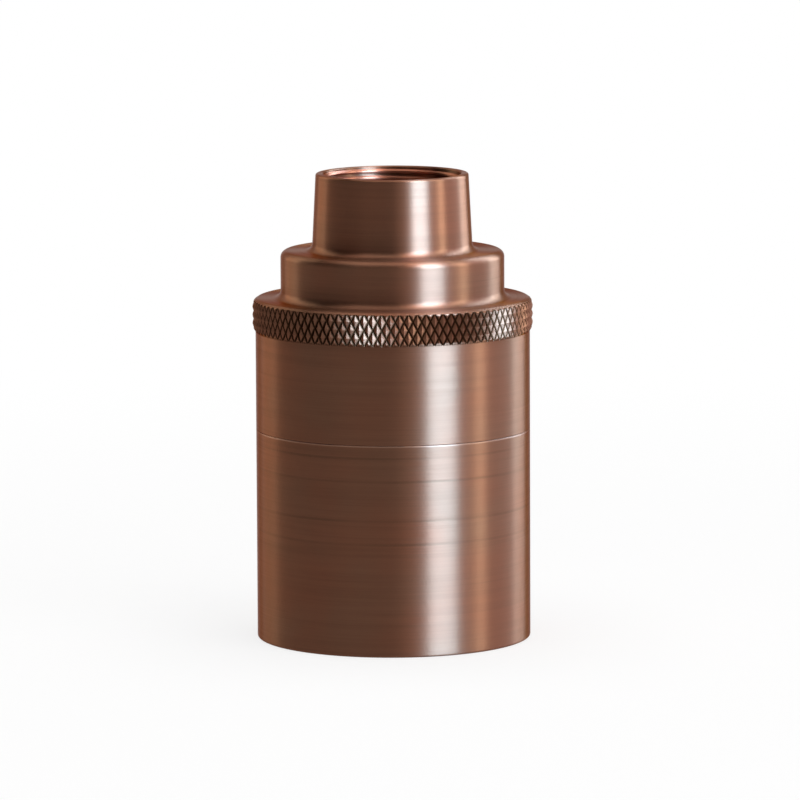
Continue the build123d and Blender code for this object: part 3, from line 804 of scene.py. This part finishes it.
# %% Knurl: patina
below = (size["Crest radius"] - knurled) / size["Depth"]
groove = below * recipe.map(turned_edge - root_radius, 0.0, GROOVE_FADE * MM)
under_edge = recipe.map(knurled - foot_edge, 0.0, FOOT_FADE * MM, 0.0, FOOT_PATINA)
groove = recipe.math("MAXIMUM", groove, under_edge)

# %% [markdown]
# The back is two rows inside the collar and one at its foot. There the ring stays open by a slit,
# which lies in the cap's wall where nothing shows it.

# %% Knurl: hidden back
is_back = (row > face_rows + 0.5) * (row < face_rows + 2.5)
is_back_top = is_back * (row < face_rows + 1.5)
back_radius = size["Crest radius"] - size["Back"] - size["Depth"]
back_low, back_high = size["Bottom"] + BACK_FOOT * MM, size["Shoulder"] - BACK_HEAD * MM
back_height = pick(recipe, is_back_top, back_low, back_high)
height = pick(recipe, is_back, face_height, back_height)
height = pick(recipe, row > face_rows + 2.5, height, size["Bottom"])
radius = pick(recipe, is_back, face_radius, back_radius)
stored = {"Geometry": grid, "Name": "groove", "Value": groove}
marked = recipe.add("GeometryNodeStoreNamedAttribute", stored, data_type="FLOAT")
roll_up(recipe, marked, column * (2 * pi) / columns, radius, height, size["Material"])
knurl_mesh = grown("knurled_band", recipe.tree, {}, knurl_copper)
finished("knurled_band", knurl_mesh, knurl_copper, "cap_body", smooth=KNURL_SMOOTH)

# %% [markdown]
# ### A tree for every thread
# One tree makes every thread here: the fine one in the neck, the two halves of the joint between
# cap and sleeve, the rolled one of the lamp shell and those of the small screws. Its height follows
# one wave that climbs by a pitch each turn, and it fades out at both ends, where the tool was drawn
# back. A cut thread has a plain back, hidden in the wall. A rolled thread is thin sheet, so there
# the back keeps the same distance from the front all over.

# %% The thread tree
RUN_OUT = 0.6
THREAD_SMOOTH = radians(50)

recipe, size = new_tree("climbing_thread", {
    "Columns": 96,
    "Rows": 60,
    "Bottom": 0.0,
    "Height": 0.01,
    "Wall radius": 0.01,
    "Ridge": 0.0005,
    "Pitch": 0.001,
    "Start": 0.0,
    "Flat": 0.1,
    "Run-out": 0.0005,
    "Back": 0.0005,
    "Sheet": 0,
})
twice_rows = size["Rows"] * 2
grid, turn, row = flat_grid(recipe, 1.0, size["Columns"], twice_rows + 2)
nearer = recipe.math("MINIMUM", row, twice_rows + 1 - row)
climb = recipe.math("MAXIMUM", nearer, 0) / size["Rows"] * size["Height"]
phase = recipe.math("FRACT", climb / size["Pitch"] - turn + size["Start"] + 100)
wave = 1 - recipe.math("ABSOLUTE", phase * 2 - 1)
ridge = recipe.map(wave, size["Flat"], 1 - size["Flat"], smooth=True)
to_end = recipe.math("MINIMUM", climb, size["Height"] - climb)
fade = recipe.map(to_end / size["Run-out"], 0.0, 1.0, smooth=True)
is_back = (row > size["Rows"] + 0.5) * (row < twice_rows + 1.5)
keeps_wave = recipe.math("MAXIMUM", 1 - is_back, size["Sheet"])
lift = ridge * fade * size["Ridge"] * keeps_wave
radius = size["Wall radius"] + lift + is_back * size["Back"]
roll_up(recipe, grid, turn * (2 * pi), radius, size["Bottom"] + climb, size["Material"])
thread_tree = recipe.tree


def thread_mesh(name, material, ends, wall, ridge, pitch, back, columns=96, rows_a_pitch=10, **more):
    """A thread between two heights, all in millimetres. A ridge or a back below 0 goes inward."""
    bottom, top = ends
    sizes = {
        "Columns": columns,
        "Rows": ceil((top - bottom) / pitch * rows_a_pitch),
        "Bottom": bottom * MM,
        "Height": (top - bottom) * MM,
        "Wall radius": wall * MM,
        "Ridge": ridge * MM,
        "Pitch": pitch * MM,
        "Back": back * MM,
        "Run-out": pitch * RUN_OUT * MM,
    }
    return grown(name, thread_tree, {**sizes, **more}, material)


# %% [markdown]
# ### The threads of the two shells
# All three are fine cut threads with a pitch of one millimetre. The neck's shows in the mouth, so it
# gets more rows and flatter crests. The skirt's and the spigot's meet where cap and sleeve join, half
# a turn apart, so that ridge lies in groove. Each stands a hair into its wall, to leave no slit.

# %% Threads of the two shells
FINE_PITCH = 1.0
RIDGE = 0.38
NECK_RIDGE = 0.32
HIDDEN = 0.3
INTO_WALL = 0.02
NECK_ENDS = (CEILING + 0.5, CAP_TOP - 0.12)
SKIRT_ENDS = (PARTING + 0.5, SPIGOT_TOP + 0.6)
SPIGOT_ENDS = (PARTING + 0.5, SPIGOT_TOP - 0.3)
NECK_STYLE = {"rows_a_pitch": 16, "Flat": 0.25}

cut_threads = (
    ("neck_thread", "cap_body", NECK_ENDS, NECK_BORE + INTO_WALL, -NECK_RIDGE, HIDDEN, NECK_STYLE),
    ("skirt_thread", "cap_body", SKIRT_ENDS, SKIRT_BORE + INTO_WALL, -RIDGE, HIDDEN, {}),
    ("spigot_thread", "sleeve_body", SPIGOT_ENDS, SPIGOT_RADIUS - INTO_WALL, RIDGE, -HIDDEN, {"Start": 0.5}),
)
for name, body, ends, wall, ridge, back, style in cut_threads:
    mesh = thread_mesh(name, thread_copper, ends, wall, ridge, FINE_PITCH, back, **style)
    finished(name, mesh, thread_copper, body, smooth=THREAD_SMOOTH)

# %% [markdown]
# ## Pieces that start from the CAD model
# Where the CAD shape is already right, drawing it again would only add mistakes. A copy of the
# node's mesh is joined up, its flat faces are merged, and modifiers finish it. The CAD node itself
# stays as it is, and the copy takes its place in the picture.


# %% Copies of CAD pieces
def merged_copy(node):
    """A CAD node's mesh with its loose triangles joined up."""
    form = bmesh.new()
    form.from_mesh(frame["nodes"][node].data)
    bmesh.ops.remove_doubles(form, verts=form.verts, dist=0.0005 * MM)
    bmesh.ops.dissolve_limit(form, angle_limit=radians(0.5), verts=form.verts, edges=form.edges)
    return form


def with_modifiers(mesh, *steps):
    """Run modifiers, given as a kind and its settings, and keep the result as a plain mesh."""
    holder = linked("holder", mesh)
    for kind, settings in steps:
        modifier = holder.modifiers.new(kind, kind)
        for setting, value in settings.items():
            setattr(modifier, setting, value)
    result = evaluated_mesh(holder)
    bpy.data.objects.remove(holder)
    return result


# %% [markdown]
# ## The lamp shell
# The brass shell that takes the lamp is thin sheet with a rolled thread, so its wall is one wave
# inside and out, and the thread tree makes it. Above the thread it narrows, and three tabs turn in
# under the porcelain. That upper end is a copy of the CAD model, cut off below the neck and closed.

# %% Lamp shell
SHELL_BORE = 13.3
SHELL_SHEET = 0.4
SHELL_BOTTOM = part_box("screw_shell")[0].z / MM
SHELL_THREAD_TOP = SHELL_BOTTOM + 16.4
SHELL_OVERLAP = 0.05
LAMP_PITCH = 3.629
LAMP_RIDGE = 1.05

form = merged_copy("screw_shell")
geometry = form.verts[:] + form.edges[:] + form.faces[:]
cut_place = (0, 0, (SHELL_THREAD_TOP - SHELL_OVERLAP) * MM)
bmesh.ops.bisect_plane(form, geom=geometry, plane_co=cut_place, plane_no=(0, 0, 1), clear_inner=True)
bmesh.ops.bridge_loops(form, edges=[edge for edge in form.edges if edge.is_boundary])
shell_top = as_mesh(form, "lamp_shell_top")
finished("lamp_shell_top", shell_top, brass, "sleeve_body", ["screw_shell"])
shell_thread = thread_mesh(
    "lamp_shell_thread", brass, (SHELL_BOTTOM, SHELL_THREAD_TOP), SHELL_BORE, -LAMP_RIDGE, LAMP_PITCH,
    SHELL_SHEET, columns=160, rows_a_pitch=16, Sheet=1, Flat=0.0,
)
finished("lamp_shell_thread", shell_thread, brass, "sleeve_body", smooth=THREAD_SMOOTH)

# %% [markdown]
# ## The porcelain insert
# Porcelain is pressed and fired, so it has no sharp edge anywhere. A voxel remesh of the CAD solid
# gives an even skin, and a few passes of smoothing pull every edge into the soft round that glaze
# has, which bevels between so many crossing holes would not.

# %% Porcelain insert
VOXEL = 0.36

porcelain_mesh = with_modifiers(
    as_mesh(merged_copy("insulator"), "porcelain_insert"),
    ("REMESH", {"mode": "VOXEL", "voxel_size": VOXEL * MM, "adaptivity": 0.0}),
    ("SMOOTH", {"factor": 0.5, "iterations": 3}),
)
finished(
    "porcelain_insert", porcelain_mesh, glazed_porcelain, "sleeve_body", ["insulator"],
    smooth=pi,
)

# %% [markdown]
# ## Small brass parts
# The other contacts keep their CAD shapes. Each gets broken edges: a narrow bevel, as a tumbled or
# filed part has, which catches a line of light.

# %% Bevelled copies
BROKEN_EDGE = {"width": 0.08 * MM, "segments": 2, "limit_method": "ANGLE", "angle_limit": radians(40)}
BRASS_ON_SLEEVE = (
    "shell_rivet_1", "shell_rivet_2", "contact_bush", "live_strip", "live_terminal", "neutral_terminal",
)

small_parts = [(node, brass, "sleeve_body", "brass") for node in BRASS_ON_SLEEVE]
small_parts += [
    ("fibre_gasket", red_fibre, "sleeve_body", "fibre"),
    ("contact_plunger", brass, "centre_contact", "brass"),
    ("plunger_clip", spring_steel, "centre_contact", "spring_steel"),
    ("earth_washer", zinc, "earth_terminal", "zinc_plated_steel"),
    ("earth_clamp", brass, "earth_terminal", "brass"),
]
for node, material, body, slot in small_parts:
    name = node + "_finished"
    mesh = with_modifiers(as_mesh(merged_copy(node), name), ("BEVEL", BROKEN_EDGE))
    finished(name, mesh, material, body, [node])

# %% [markdown]
# ## The contact spring
# A coil spring is wire on a helix. The tree sweeps a small circle along a spiral that doesn't change
# its radius. When the contact is pressed in, the real coil shortens towards its fixed upper end; here
# only the share of its length that it then keeps is worked out and printed.

# %% Spring
SPRING_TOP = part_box("contact_spring")[1].z / MM
SPRING_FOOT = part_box("contact_spring")[0].z / MM
SPRING_LENGTH = SPRING_TOP - SPRING_FOOT
PRESS_JOINT = "contact_press"
WIRE_RADIUS = 0.25
COIL_RADIUS = 2.2
COIL_TURNS = 6.0

press = next(joint["range_m"][1] / MM for joint in frame["joints"] if joint["name"] == PRESS_JOINT)
recipe, size = new_tree("coil_spring", {
    "Turns": COIL_TURNS,
    "Coil radius": COIL_RADIUS * MM,
    "Wire radius": WIRE_RADIUS * MM,
    "Bottom": (SPRING_FOOT + WIRE_RADIUS) * MM,
    "Height": (SPRING_LENGTH - 2 * WIRE_RADIUS) * MM,
})
helix = recipe.add("GeometryNodeCurveSpiral", {
    "Resolution": 40,
    "Rotations": size["Turns"],
    "Start Radius": size["Coil radius"],
    "End Radius": size["Coil radius"],
    "Height": size["Height"],
})
circle = {"Resolution": 14, "Radius": size["Wire radius"]}
section = recipe.add("GeometryNodeCurvePrimitiveCircle", circle)
swept = {"Curve": helix, "Profile Curve": section, "Fill Caps": True}
wire = recipe.add("GeometryNodeCurveToMesh", swept)
lifted = {"Geometry": wire, "Translation": recipe.join(z=size["Bottom"])}
end_tree(recipe, recipe.add("GeometryNodeTransform", lifted), size["Material"])
spring_mesh = grown("coil_spring", recipe.tree, {}, spring_steel)
spring = finished(
    "coil_spring", spring_mesh, spring_steel, "sleeve_body", ["contact_spring"],
    smooth=THREAD_SMOOTH,
)
left_of_spring = (SPRING_LENGTH - press) / SPRING_LENGTH
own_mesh(spring)
print(f"the pressed spring keeps {left_of_spring:.2f} of its length")

# %% [markdown]
# ## Slotted screws
# The five screws are one kind: a cheese head with a saw-cut slot and a rounded edge, and a rolled
# thread on the shank. Each is made lying on the axis with the underside of its head at zero, and is
# then turned and moved to its place.

# %% Screws
SCREW_RADIUS = 1.45
SCREW_CORE = SCREW_RADIUS - 0.22
SCREW_TIP = 0.3
SCREW_PITCH = 0.5
SCREW_STEPS = 64
HEAD_RADIUS = 2.3
HEAD_HEIGHT = 1.7
SLOT_WIDTH = 0.7
SLOT_DEPTH = 0.8
SAW_REACH = 3
SAW_LIFT = 1
HEAD_ROUNDING = 0.3
HEAD_EDGE = 0.08
THREAD_FROM = 0.1
THREAD_SHORT = 0.25
THREAD_BACK = 0.2


def box_mesh(low, high):
    form = bmesh.new()
    bmesh.ops.create_cube(form, size=1)
    size, centre = Vector(high) - Vector(low), (Vector(high) + Vector(low)) / 2
    for vertex in form.verts:
        vertex.co = Vector(a * b for a, b in zip(vertex.co, size)) * MM + centre * MM
    return as_mesh(form, "box")


# %% Making a screw
def slotted_screw(name, node, body, place, turn=Matrix.Identity(4)):
    """Replace a CAD screw. Its length is the node's longest side."""
    low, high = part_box(node)
    length = max(high - low) / MM - HEAD_HEIGHT
    blank = lathe_mesh(name, [
        (0, -HEAD_HEIGHT, 0),
        (HEAD_RADIUS, -HEAD_HEIGHT, HEAD_ROUNDING),
        (HEAD_RADIUS, 0, HEAD_EDGE),
        (SCREW_CORE, 0, 0),
        (SCREW_CORE, length - SCREW_TIP, 0),
        (SCREW_CORE - SCREW_TIP, length, 0),
        (0, length, 0),
    ], steps=SCREW_STEPS)
    slot_low = (-SAW_REACH, -SLOT_WIDTH / 2, -HEAD_HEIGHT - SAW_LIFT)
    slot_high = (SAW_REACH, SLOT_WIDTH / 2, -HEAD_HEIGHT + SLOT_DEPTH)
    thread = thread_mesh(
        name, zinc, (THREAD_FROM, length - THREAD_SHORT), SCREW_CORE, SCREW_RADIUS - SCREW_CORE,
        SCREW_PITCH, -THREAD_BACK, columns=32, rows_a_pitch=6,
    )
    form = bmesh.new()
    form.from_mesh(take_away(blank, box_mesh(slot_low, slot_high)))
    form.from_mesh(thread)
    mesh = as_mesh(form, name)
    mesh.transform(Matrix.Translation(Vector(place)) @ turn)
    finished(name, mesh, zinc, body, [node])


for name, body, side in (("live", "live_clamp", 1), ("neutral", "neutral_clamp", -1)):
    low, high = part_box(name + "_terminal_screw")
    head_face = (high.x if side > 0 else low.x) - side * HEAD_HEIGHT * MM
    place = (head_face, 0, (low.z + high.z) / 2)
    lying = Matrix.Rotation(-side * pi / 2, 4, "Y")
    slotted_screw(name + "_clamp_screw", name + "_terminal_screw", body, place, lying)
    low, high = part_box(name + "_fixing_screw")
    place = ((low.x + high.x) / 2, 0, low.z + HEAD_HEIGHT * MM)
    slotted_screw(name + "_web_screw", name + "_fixing_screw", "sleeve_body", place)
low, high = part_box("earth_screw")
place = (0, (low.y + high.y) / 2, low.z + HEAD_HEIGHT * MM)
slotted_screw("earth_clamp_screw", "earth_screw", "earth_terminal", place)

# %% [markdown]
# ## The camera
# The photograph was taken from a little above the rim, with a long lens, so the ellipses are shallow
# and the sides hardly converge. The camera's place, its three angles and its lens were fitted to the
# outline of the holder in the picture.

# %% Camera
CAMERA_BACK = 943.6
CAMERA_HEIGHT = 164.24
CAMERA_PITCH = radians(7.8175)
CAMERA_ROLL = radians(-0.2559)
CAMERA_YAW = radians(0.0617)
FOCAL_PIXELS = 6523.0
FRAME_PIXELS = 800
SENSOR_WIDTH = 36
NEAREST = 0.05
FARTHEST = 20

view_line = Vector((
    sin(CAMERA_YAW) * cos(CAMERA_PITCH),
    cos(CAMERA_YAW) * cos(CAMERA_PITCH),
    -sin(CAMERA_PITCH),
))
level = Vector((cos(CAMERA_YAW), -sin(CAMERA_YAW), 0))
over = level.cross(view_line)
right = cos(CAMERA_ROLL) * level + sin(CAMERA_ROLL) * over
over = -sin(CAMERA_ROLL) * level + cos(CAMERA_ROLL) * over
turned = Matrix((right, over, -view_line)).transposed().to_4x4()
camera = linked("camera", bpy.data.cameras.new("camera"))
camera.matrix_world = Matrix.Translation((0, -CAMERA_BACK * MM, CAMERA_HEIGHT * MM)) @ turned
camera.data.sensor_width = SENSOR_WIDTH
camera.data.lens = SENSOR_WIDTH * FOCAL_PIXELS / FRAME_PIXELS
camera.data.clip_start = NEAREST
camera.data.clip_end = FARTHEST
bpy.context.scene.camera = camera
print(f"lens {camera.data.lens:.1f} mm")

# %% [markdown]
# ## The studio: paper
# The holder stands on white paper that bends up behind it and fills the whole background. Lighting
# it until it turned white would wash out the holder. So the paper takes the lamps' light and the
# holder's soft shadow like any paper, and glows on top of that for the eye, for metal and for glass
# only. Near the holder it glows less, where the shadow has to show.

# %% Paper sweep
SWEEP_HALF_WIDTH = 1.6
SWEEP_FRONT = -1.6
SWEEP_BEND_START = 1.3
SWEEP_BEND = 0.4
SWEEP_TOP = 1.8
BEND_STEPS = 10
BEND_DEGREES = 9
BELOW_RIM = 0.00002
NEAR_HOLDER = 0.05
OUT_OF_SHADOW = 0.3
PAPER = (0.93, 0.93, 0.93, 1)
PAPER_GLOW = 0.75


def pale_paper(name):
    """Takes a soft shadow, and otherwise reads as white to eye, metal and glass. Its back is unseen."""
    material = bpy.data.materials.new(name)
    material.use_nodes = True
    material.cycles.emission_sampling = "NONE"
    recipe = Recipe(material.node_tree)
    lit = recipe.add("ShaderNodeBsdfDiffuse", {"Color": PAPER})
    bright = recipe.add("ShaderNodeEmission", {"Color": (1, 1, 1, 1), "Strength": 1.0})
    rays = recipe.node("ShaderNodeLightPath").outputs
    by_eye, by_metal, by_glass = (
        Term(recipe, rays[f"Is {kind} Ray"]) for kind in ("Camera", "Glossy", "Transmission")
    )
    place = recipe.add("ShaderNodeTexCoord", output="Object")
    away = recipe.add("ShaderNodeVectorMath", {0: place}, "Value", operation="LENGTH")
    glow = recipe.map(away, NEAR_HOLDER, OUT_OF_SHADOW, PAPER_GLOW, 1.0, smooth=True)
    seen = recipe.math("MAXIMUM", recipe.math("MAXIMUM", by_eye, by_metal), by_glass)
    front = recipe.add("ShaderNodeMixShader", {0: seen * glow, 1: lit, 2: bright})
    clear = recipe.add("ShaderNodeBsdfTransparent")
    behind = recipe.add("ShaderNodeNewGeometry", output="Backfacing") * by_eye
    both = recipe.add("ShaderNodeMixShader", {0: behind, 1: front, 2: clear})
    recipe.node("ShaderNodeOutputMaterial", {"Surface": both})
    return material


bend = [radians(step * BEND_DEGREES) for step in range(BEND_STEPS + 1)]
profile = [(SWEEP_FRONT, -BELOW_RIM)]
profile += [(SWEEP_BEND_START + SWEEP_BEND * sin(a), SWEEP_BEND * (1 - cos(a)) - BELOW_RIM) for a in bend]
profile.append((SWEEP_BEND_START + SWEEP_BEND, SWEEP_TOP))
sides = (-SWEEP_HALF_WIDTH, SWEEP_HALF_WIDTH)
form = bmesh.new()
left, right = [[form.verts.new((side, y, z)) for y, z in profile] for side in sides]
for step in range(len(profile) - 1):
    form.faces.new((left[step], right[step], right[step + 1], left[step + 1]))
sweep_mesh = bpy.data.meshes.new("paper_sweep")
form.to_mesh(sweep_mesh)
form.free()
sweep_mesh.polygons.foreach_set("use_smooth", [True] * len(sweep_mesh.polygons))
sweep_mesh.materials.append(pale_paper("pale_paper"))
sweep = linked("paper_sweep", sweep_mesh)
print("paper sweep faces up:", sweep_mesh.polygons[0].normal.z > 0)

# %% [markdown]
# ## The studio: cards and lamps
# Turned metal shows each bright thing round it as an upright band. A cylinder mirrors twice the angle
# that it turns: a band at 20 degrees on the metal is a card at 40 degrees in the room. So tall bright
# cards stand where the bands of the photograph ask for them, seen by metal and glaze alone. Their
# cool colours make up for the copper, which would turn every band orange. Everything else is lit by
# two plain lamps and a dim even room, at a level where a colour looks as it is written.

# %% Room
ROOM_LIGHT = 0.06
LAMP_DISTANCE = 1.0
CARD_FOOT = 0.002
NEUTRAL = (1.0, 1.0, 1.0)
# Left, right and upper edge in degrees, radiance and colour.
CARDS = {
    "key_card": (30, 54, 50, 52.0, (0.264, 0.6, 1.0)),
    "right_wall": (56, 116, 50, 2.9, (0.82, 0.84, 1.0)),
    "warm_strip": (73, 83, 50, 10.5, (0.76, 1.0, 0.98)),
    "rear_right": (119, 141, 50, 29.0, (0.36, 0.65, 1.0)),
    "rear_left": (-143, -114, 50, 3.0, (0.85, 1.0, 0.98)),
    "front_ramp": (6, 28, 50, 0.5, (1.0, 0.9, 0.8)),
}
# Turn and lift in degrees, size in metres, radiance, colour, and which rays see it.
LAMPS = {
    "right_top_card": (45, 50, 0.5, 8.5, (1.0, 0.82, 0.62), {"visible_diffuse": False}),
    "overhead": (0, 90, 1.2, 2.6, NEUTRAL, {}),
    "soft_key": (40, 35, 0.8, 1.2, NEUTRAL, {"visible_glossy": False}),
}

world = bpy.data.worlds.new("room")
world.use_nodes = True
bpy.context.scene.world = world
recipe = Recipe(world.node_tree)
room = recipe.add("ShaderNodeBackground", {"Color": (*NEUTRAL, 1), "Strength": ROOM_LIGHT})
recipe.node("ShaderNodeOutputWorld", {"Surface": room})


# %% Cards and lamps
def aimed_lamp(name, turn, lift, width, height, radiance, colour, **seen):
    """A lamp that looks at the holder. Turn 0 is the camera's side and 90 its right; lift is upward."""
    turn, lift = radians(turn), radians(lift)
    toward = Vector((sin(turn) * cos(lift), -cos(turn) * cos(lift), sin(lift)))
    lamp = bpy.data.lights.new(name, "AREA")
    lamp.shape = "RECTANGLE"
    lamp.size = width
    lamp.size_y = height
    lamp.energy = radiance * pi * width * height
    lamp.color = colour
    stand = linked(name, lamp)
    stand.location = toward * LAMP_DISTANCE
    stand.rotation_euler = toward.to_track_quat("Z", "Y").to_euler()
    stand.visible_camera = False
    for ray, visible in seen.items():
        setattr(stand, ray, visible)
    print(f"{name}: {lamp.energy:.2f} W")
    return stand


for name, (left, right, top, radiance, colour) in CARDS.items():
    width = 2 * LAMP_DISTANCE * tan(radians((right - left) / 2))
    height = LAMP_DISTANCE * tan(radians(top))
    middle = (left + right) / 2
    card = aimed_lamp(name, middle, 0, width, height, radiance, colour, visible_diffuse=False)
    card.location.z = height / 2 + CARD_FOOT
for name, (turn, lift, width, radiance, colour, seen) in LAMPS.items():
    aimed_lamp(name, turn, lift, width, width, radiance, colour, **seen)
bpy.context.scene.view_settings.view_transform = "Standard"
